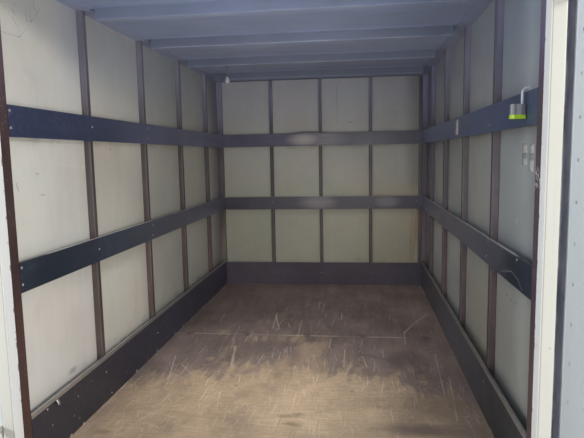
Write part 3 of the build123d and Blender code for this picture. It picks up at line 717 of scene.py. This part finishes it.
# The subframe
def chassis_black():
    f = Finish("chassis_black")
    cloud = f.noise(5, 5, 0.65)
    f.colour = f.mix(f.step(cloud, 0.35, 0.75), (0.018, 0.018, 0.02), (0.052, 0.048, 0.044))
    f.lay((0.16, 0.065, 0.028), f.step(f.noise(9, 6, 0.7), 0.58, 0.7), f.step(f.noise(1.5), 0.42, 0.6), 0.8)
    return f.finish(f.vary(cloud, 0.42, 0.72), f.noise(40, 4), 0.001, 0.5)


# The edge trims, and the kick caps with a bright nose and a dark top
def bright_aluminium():
    f = Finish("bright_aluminium", metallic=0.85)
    brushed = f.noise(1, 4, 0.6, (90, 6, 90))
    cloud = f.noise(6, 5, 0.6)
    f.colour = f.mix(f.step(cloud, 0.3, 0.75), (0.62, 0.63, 0.64), (0.42, 0.43, 0.44))
    f.lay((0.3, 0.29, 0.28), f.step(f.noise(16, 5, 0.7), 0.55, 0.75, 0, 0.6))
    # On the kick caps, the nose keeps a metal tone and the top is dark
    inside = f.times(f.out(0.86, 0.858), f.up(0.4, 0.38), f.up(0.33, 0.34))
    nose = f.mix(cloud, (0.36, 0.355, 0.35), (0.6, 0.59, 0.58))
    nose_and_dark_top = f.mix(f.out(board_face + 0.004, board_face + 0.01), nose, (0.075, 0.072, 0.074))
    f.lay(nose_and_dark_top, inside, 0.85)
    return f.finish(f.vary(brushed, 0.36, 0.55), brushed, 0.0006, 0.4)


def roof_paint():
    f = Finish("roof_paint")
    cloud = f.noise(1.2, 5, 0.65)
    f.colour = f.mix(f.step(cloud, 0.35, 0.75), (0.63, 0.62, 0.58), (0.51, 0.495, 0.45))
    f.lay((0.33, 0.31, 0.26), f.step(f.noise(3.5, 6, 0.7), 0.56, 0.72, 0, 0.4))
    return f.finish(f.vary(cloud, 0.5, 0.65), f.noise(2.5, 3), 0.004, 0.4)


# The door leaves: blue-grey inside and cream outside
def door_sheet():
    f = Finish("door_sheet")
    cloud = f.noise(3.4, 5, 0.6)
    f.colour = f.mix(f.step(cloud, 0.35, 0.7, 0, 0.4), (0.608, 0.638, 0.645), (0.54, 0.57, 0.578))
    smudge = f.step(f.streaks(f.wall, 9, 4, 5, 0.65), 0.55, 0.72)
    f.lay((0.29, 0.31, 0.32), smudge, f.step(f.noise(22), 0.42, 0.6), 0.3)
    # Painted light: the inner sheet darker towards the bottom and lighter towards the top
    f.shade(f.up(0.2, 1.8, 0.9, 1.16))
    outside = f.out(0.872, 0.8735)
    spray = f.times(f.up(0.8, 0.15), f.vary(cloud, 0, 1))
    f.lay(f.mix(f.times(spray, 0.6), outside_paint, road_dirt), outside)
    return f.finish(f.vary(cloud, 0.36, 0.5), f.noise(7, 3), 0.002, 0.3)


def seal_rubber():
    f = Finish("seal_rubber")
    dust = f.streaks(f.wall, 30, 6, 5, 0.65)
    f.colour = f.mix(f.vary(f.noise(9, 4), 0, 1), (0.052, 0.056, 0.076), (0.097, 0.101, 0.124))
    f.lay((0.5, 0.5, 0.5), f.along(-1.567, -1.56), f.step(dust, 0.4, 0.58), 0.9)
    f.lay((0.17, 0.17, 0.17), f.step(dust, 0.58, 0.8, 0, 0.4))
    return f.finish(f.vary(dust, 0.5, 0.7), dust, 0.0008, 0.5)


def zinc_steel():
    f = Finish("zinc_steel", metallic=1)
    cloud = f.noise(30, 5, 0.65)
    f.colour = f.mix(f.vary(cloud, 0, 1), (0.62, 0.62, 0.61), (0.42, 0.42, 0.41))
    f.lay((0.26, 0.15, 0.08), f.step(f.noise(14, 6, 0.7), 0.6, 0.72, 0, 0.7))
    return f.finish(f.vary(cloud, 0.28, 0.46), cloud, 0.0004, 0.4)


# The padlock's stack of plates, painted lighter at the end by the doors with a painted highlight on one
# plate, and a lime green base painted lighter at the same end
def padlock_steel():
    f = Finish("padlock_steel")
    cloud = f.noise(220, 4, 0.6)
    far = f.along(-1.315, -1.285)
    # Painted light: the plates lighter at the end by the doors
    f.colour = f.mix(far, (0.24, 0.24, 0.25), (0.095, 0.1, 0.135))
    f.shade(f.vary(cloud, 0.75, 1.25))
    # A painted highlight on one plate
    f.lay((0.5, 0.5, 0.52), f.near(f.y, -1.3135, 0.0035), 0.7)
    # The lime green base, painted lighter at the end by the doors
    f.lay(f.mix(far, (0.5, 0.74, 0.045), (0.19, 0.38, 0.02)), f.up(1.3726, 1.3719))
    return f.finish(f.vary(cloud, 0.3, 0.42), cloud, 0.0003, 0.4)


def plain(name, colour, darker, rough, scale=40):
    f = Finish(name)
    cloud = f.noise(scale, 4, 0.6)
    f.colour = f.mix(f.step(cloud, 0.3, 0.75), colour, darker)
    return f.finish(f.vary(cloud, rough, rough + 0.15), cloud, 0.0004, 0.4)


makers = (
    wall_sheet, brown_primer, roof_lining, board_black, deck_plywood, cream_paint, chassis_black,
    bright_aluminium, roof_paint, door_sheet, seal_rubber, zinc_steel, padlock_steel,
)
materials = {maker.__name__: maker() for maker in makers}
for part in frame["record"]["subparts"]:
    shown = frame["nodes"][part["node"]]
    shown.data.materials.clear()
    shown.data.materials.append(materials[part["material_slot"]])
shackle = frame["nodes"]["padlock_shackle"]
shackle.data.materials.clear()
shackle.data.materials.append(plain("shackle_steel", (0.56, 0.57, 0.6), (0.38, 0.39, 0.42), 0.2, 120))

# Finishes of the small pieces: colour, darker colour, roughness and scale
tape = plain("tape", (0.66, 0.66, 0.62), (0.54, 0.54, 0.5), 0.5, 60)
tape_dark = plain("tape_dark", (0.42, 0.43, 0.42), (0.35, 0.36, 0.35), 0.5, 60)
plate = plain("plate", (0.62, 0.62, 0.6), (0.5, 0.5, 0.48), 0.35, 18)
lamp_grey = plain("lamp_grey", (0.24, 0.26, 0.31), (0.17, 0.185, 0.22), 0.4, 60)
lamp_white = plain("lamp_white", (0.82, 0.82, 0.86), (0.66, 0.66, 0.7), 0.15, 30)
rivet_grey = plain("rivet_grey", (0.44, 0.46, 0.47), (0.24, 0.25, 0.26), 0.45, 90)
screw_steel = plain("screw_steel", (0.36, 0.36, 0.36), (0.2, 0.2, 0.2), 0.35, 200)


# Shapes for the small pieces
def mesh_object(name, shape, material):
    mesh = bpy.data.meshes.new(name)
    shape.to_mesh(mesh)
    shape.free()
    mesh.materials.append(material)
    return new_object(name, mesh)


def new_piece(name, shape, slot, material=None, body="box", smooth=True):
    bmesh.ops.recalc_face_normals(shape, faces=shape.faces)
    made = mesh_object(name, shape, material or materials[slot])
    for face in made.data.polygons:
        face.use_smooth = smooth
    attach(made, body)


def add_loft(shape, rings):
    """A closed form through rings of points, where a ring of one point is a tip."""
    rings = [[shape.verts.new(point) for point in ring] for ring in rings]
    count = max(len(ring) for ring in rings)
    for low, high in zip(rings, rings[1:]):
        for i in range(count):
            j = (i + 1) % count
            corners = [low[i % len(low)], low[j % len(low)], high[j % len(high)], high[i % len(high)]]
            shape.faces.new(list(dict.fromkeys(corners)))
    for ring in (rings[0], rings[-1]):
        if len(ring) > 1:
            shape.faces.new(ring)


def add_turned(shape, profile, normal, place, sides=12):
    """A closed turned form: profile is (radius, height) pairs from its foot to its top."""
    where = Matrix.Translation(place) @ Vector(normal).to_track_quat("Z", "Y").to_matrix().to_4x4()
    angles = [2 * math.pi * i / sides for i in range(sides)]
    rings = []
    for radius, height in profile:
        points = [Vector((radius * math.cos(a), radius * math.sin(a), height)) for a in angles]
        rings.append([where @ point for point in (points if radius else points[:1])])
    add_loft(shape, rings)


def dome(radius, height):
    shoulder = (radius * 0.8, height * 0.7)
    return [(radius, 0), (radius, height * 0.25), shoulder, (radius * 0.4, height * 0.95), (0, height)]


def hexagon(radius, height):
    return [(radius, 0), (radius, height * 0.85), (radius * 0.9, height)]


def blind_rivet(radius):
    """A low dome with the hollow that a blind rivet's pin leaves in it."""
    foot = [(radius, 0), (radius * 0.95, radius * 0.22)]
    return foot + [(radius * 0.5, radius * 0.42), (radius * 0.36, radius * 0.3), (0, radius * 0.26)]


def add_box(shape, low, high, bevel):
    centre = (Vector(low) + Vector(high)) / 2
    size = Vector(high) - Vector(low)
    where = Matrix.Translation(centre) @ Matrix.Diagonal((*size, 1.0))
    made = bmesh.ops.create_cube(shape, size=1.0, matrix=where)
    edges = list(dict.fromkeys(e for v in made["verts"] for e in v.link_edges))
    bmesh.ops.bevel(shape, geom=edges, offset=bevel, segments=2, affect="EDGES")


def steps(first, last, pitch):
    """Places from first to last, as near to the pitch as fits."""
    count = max(1, round(abs(last - first) / pitch))
    return [first + (last - first) * i / count for i in range(count + 1)]


# Screws in the boards, where the photograph shows them and on the same pattern elsewhere
def board_screws():
    shape = bmesh.new()
    first, second, third, last = side_places

    # Places in y and z: the upper board, then the lower board, then the kick board
    left = [
        (-1.392, 1.425), (-1.392, 1.368), (last - 0.01, 1.398), (third - 0.004, 1.367),
        (third - 0.006, 1.42), (second, 1.392), (first, 1.392),
        (-1.392, 0.894), (-1.392, 0.835), (last - 0.012, 0.861), (third + 0.004, 0.889),
        (third + 0.002, 0.831), (second, 0.858), (first, 0.862),
        (last - 0.016, 0.293), (last + 0.026, 0.175), (-1.305, 0.342), (third, 0.262),
        (second, 0.27), (first, 0.25),
    ]
    right = [
        (-1.248, 0.903), (last - 0.02, 0.903), (last - 0.005, 0.836), (third, 0.862),
        (second, 0.86), (first, 0.858),
        (last, 1.366), (third, 1.392), (second, 1.392), (first, 1.392),
        (last - 0.006, 0.3), (third, 0.275), (second, 0.268), (first, 0.262),
    ]
    for places, side in ((left, -1), (right, 1)):
        for y, z in places:
            add_turned(shape, dome(0.0052, 0.0026), (-side, 0, 0), (side * board_face, y, z))
    board_end = 0.79
    lower_row, upper_row, kick_row = 0.868, 1.385, 0.26
    for x in (-board_end, *front_places, board_end):
        for z in (lower_row, upper_row, kick_row):
            add_turned(shape, dome(0.0045, 0.0022), (0, -1, 0), (x, front_board, z))
    new_piece("board_screws", shape, "zinc_steel", screw_steel)


# Blind rivets round the doors' inner sheets
def door_rivets(side, sign):
    shape = bmesh.new()
    profile = blind_rivet(0.0048)
    inner = sign * (leaf_low.x - 0.0001)
    hinge_side = -1.6465
    lock_side = leaf_low.y + 0.088
    foot, pitch, count = 0.279, 0.1062, 15
    for y in (hinge_side, lock_side):
        for i in range(count):
            add_turned(shape, profile, (-sign, 0, 0), (inner, y, foot + pitch * i))
    for z in (foot, foot + pitch * (count - 1)):
        for y in steps(hinge_side, lock_side, 0.11)[1:-1]:
            add_turned(shape, profile, (-sign, 0, 0), (inner, y, z))
    new_piece(f"door_{side}_rivets", shape, "zinc_steel", rivet_grey, f"door_{side}")


# Domed rivets outside, up each post and along the bottom rails
def wall_rivets():
    shape = bmesh.new()
    profile = dome(0.0055, 0.0024)
    heights = steps(0.2, 1.8, 0.1)
    corner_post = rear_face + 0.07
    rail_row = [(y, 0.115) for y in steps(-1.4, 1.42, 0.12)]
    side_rows = [(y, z) for y in (*side_places, corner_post) for z in heights] + rail_row
    for sign in (-1, 1):
        for y, z in side_rows:
            add_turned(shape, profile, (sign, 0, 0), (sign * side_outer, y, z), 10)
    for x in front_places:
        for z in heights:
            add_turned(shape, profile, (0, 1, 0), (x, front_outer, z), 10)
    new_piece("wall_rivets", shape, "bright_aluminium")


# Bolts through the hinge straps and the rod guides' feet
hinge_pin = Vector((0.893, -1.541))


def closed_to_open(x, y, z, sign):
    """A place on the closed right leaf, moved to where the open leaf has it."""
    return Vector((sign * (hinge_pin.x - (y - hinge_pin.y)), hinge_pin.y + (x - hinge_pin.x), z))


def door_bolts(side, sign):
    shape = bmesh.new()
    out = (sign, 0, 0)
    strap_face = hinge_pin.y
    for z in hinge_places:
        for x in (0.64, 0.72, 0.8, 0.855):
            add_turned(shape, hexagon(0.0088, 0.0058), out, closed_to_open(x, strap_face, z, sign), 6)
    guide_low, guide_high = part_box(f"door_{side}_rod_guides")
    foot_face = -1.538
    rod, foot_reach, guide_half, guide_pitch = 0.154, 0.027, 0.012, 0.78
    for z in steps(guide_low.z + guide_half, guide_high.z - guide_half, guide_pitch):
        for x in (rod - foot_reach, rod + foot_reach):
            add_turned(shape, hexagon(0.0055, 0.004), out, closed_to_open(x, foot_face, z, sign), 6)
    new_piece(f"door_{side}_bolts", shape, "zinc_steel", body=f"door_{side}", smooth=False)


def weld_beads():
    """Rippled beads along the hinge lugs' front edges, where they are welded to the corner posts."""
    shape = bmesh.new()
    half_run, ripple, count = 0.042, 0.004, 22
    for sign in (-1, 1):
        for z in hinge_places:
            for i in range(count):
                place = (sign * (side_outer - 0.0002), rear_face + 0.036, z - half_run + ripple * i)
                add_turned(shape, dome(0.0034, 0.0026), (sign, 0.3, 0), place, 8)
    new_piece("hinge_welds", shape, "cream_paint")


# Small things that the photograph shows on the walls and ceiling
def tape_marks():
    """Two upright rows of pale labels, blank, each with a darker one in its middle."""
    front_strips = ((1.2535, 1.286, tape), (1.2375, 1.253, tape_dark), (1.213, 1.237, tape))
    rear_strips = ((1.251, 1.283, tape), (1.232, 1.2505, tape_dark), (1.1925, 1.2315, tape))
    rows = (("front", -1.178, -1.124, front_strips), ("rear", -1.25, -1.204, rear_strips))
    thick = 0.0006
    for name, y0, y1, strips in rows:
        for i, (z0, z1, finish) in enumerate(strips):
            shape = bmesh.new()
            add_box(shape, (side_face - thick, y0, z0), (side_face, y1, z1), 0.0002)
            bmesh.ops.subdivide_edges(shape, edges=shape.edges, cuts=2, use_grid_fill=True)
            for v in shape.verts:
                v.co.z += 0.0006 * math.sin(v.co.y * 300 + i)
            new_piece(f"label_{name}_{i}", shape, "wall_sheet", finish)


def board_plate():
    shape = bmesh.new()
    add_box(shape, (board_face - 0.0016, -0.136, 1.352), (board_face, -0.036, 1.434), 0.0006)
    new_piece("board_plate", shape, "wall_sheet", plate)


def ceiling_lamp():
    """A stem with a flange and a socket, and a bulb on it, as radii and drops from the ceiling."""
    where = ((0, 0, -1), (-0.612, 0.775, panel_face))
    stem = [(0.012, 0), (0.012, 0.004), (0.004, 0.006), (0.0035, 0.06), (0.008, 0.064), (0, 0.065)]
    bulb = [
        (0.006, 0.0655), (0.0095, 0.07), (0.0135, 0.08), (0.0165, 0.091),
        (0.0165, 0.099), (0.012, 0.108), (0.006, 0.112), (0, 0.113),
    ]
    shape = bmesh.new()
    add_turned(shape, stem, *where, 14)
    new_piece("lamp_stem", shape, "roof_lining", lamp_grey)
    shape = bmesh.new()
    add_turned(shape, bulb, *where, 18)
    new_piece("lamp_bulb", shape, "wall_sheet", lamp_white)


def cap_tab():
    """The end of the left kick cap, bent down off the board and split at one corner."""
    shape = bmesh.new()
    count, drop, lean, thick = 6, 0.02, 0.01, 0.0012
    start, end = -1.252, -1.236
    rings = []
    for i in range(count + 1):
        t = i / count
        x, z = -board_face + 0.0022 + lean * t, kick_top - 0.016 - drop * t * t
        back, low = x + thick, z - 0.0004
        rings.append([(x, start, z), (x, end, z), (back, end, low), (back, start, low)])
    add_loft(shape, rings)
    new_piece("cap_tab", shape, "bright_aluminium")


def board_splinter():
    """A strip of face ply lifted off the upper front board's top edge."""
    shape = bmesh.new()
    start, end, lift, drop, count = -0.285, 0.125, 0.009, 0.006, 24
    rings = []
    for i in range(count + 1):
        t = i / count
        x = start + (end - start) * t
        bow = math.sin(math.pi * t) ** 1.5
        wide = 0.0035 + 0.004 * math.sin(math.pi * t)
        y = front_board - 0.0006 - lift * bow
        z = board_top - drop + 0.01 * bow
        middle = z + wide * 0.5
        rings.append([(x, y, z), (x, y - 0.0012, middle), (x, y, z + wide), (x, y + 0.0012, middle)])
    add_loft(shape, rings)
    new_piece("board_splinter", shape, "board_black")


# Floor, lamps and world
def add_stage():
    f = Finish("floor")
    f.colour = f.mix(f.noise(0.8, 3.0), (0.74, 0.735, 0.72), (0.78, 0.775, 0.76))
    shape = bmesh.new()
    bmesh.ops.create_grid(shape, x_segments=1, y_segments=1, size=30.0)
    floor = mesh_object("floor", shape, f.finish(0.8))
    floor.location.z = -0.0005


def add_lamp(name, place, target, size, power, colour, spread=180):
    data = bpy.data.lights.new(name, "AREA")
    data.shape = "DISK"
    data.size = size
    data.spread = math.radians(spread)
    data.energy = power
    data.color = colour
    lamp = new_object(name, data)
    lamp.visible_camera = False
    lamp.location = place
    lamp.rotation_mode = "QUATERNION"
    lamp.rotation_quaternion = (Vector(target) - Vector(place)).to_track_quat("-Z", "Y")


def set_world():
    """Bluish light on the object, and a plain pale background for the camera, metal and glass."""
    light, backdrop = (0.83, 0.9, 1.0), (0.86, 0.88, 0.9)
    world = bpy.data.worlds.new("world")
    world.use_nodes = True
    bpy.context.scene.world = world
    tree = world.node_tree
    path = add_node(tree, "LightPath").outputs
    shiny = {0: path["Is Glossy Ray"], 1: path["Is Transmission Ray"]}
    seen = {0: path["Is Camera Ray"], 1: add_node(tree, "Math", shiny, operation="MAXIMUM").outputs[0]}
    share = add_node(tree, "Math", seen, operation="MAXIMUM").outputs[0]
    shade = add_node(tree, "Mix", {0: share, 6: light, 7: backdrop}, data_type="RGBA")
    background = tree.nodes["Background"]
    background.inputs["Strength"].default_value = 1.0
    tree.links.new(shade.outputs[2], background.inputs["Color"])


board_screws()
wall_rivets()
weld_beads()
for side, sign in (("right", 1), ("left", -1)):
    door_rivets(side, sign)
    door_bolts(side, sign)
tape_marks()
board_plate()
ceiling_lamp()
cap_tab()
board_splinter()

# Two lamps stand outside, and four small ones fill the load space
set_camera()
add_stage()
set_world()
add_lamp("key", (5, -5.8, 3), (-0.5, -1.2, 0.8), 1.2, 160, (1, 0.96, 0.9))
add_lamp("leaf", (-4, -4.6, 1.4), (0.86, -1.9, 1), 0.6, 125, (0.97, 0.99, 1))
add_lamp("down", (-0.25, -0.65, 1.8), (-0.25, -0.65, 0.158), 0.4, 2.55, (1, 0.98, 0.95), 80)
add_lamp("side", (0.62, -1.4, 1.05), (-0.875, -0.75, 1.05), 0.7, 4.1, (1, 0.98, 0.94), 140)
add_lamp("opening", (0.45, -1.42, 1.2), (-0.5, 1.5, 0.9), 0.8, 2.85, (1, 0.99, 0.97), 100)
add_lamp("deep", (0.1, 0.6, 1.8), (0.2, 0.85, 0.158), 0.5, 1.25, (1, 0.98, 0.95), 110)
bpy.context.scene.view_settings.view_transform = "Standard"
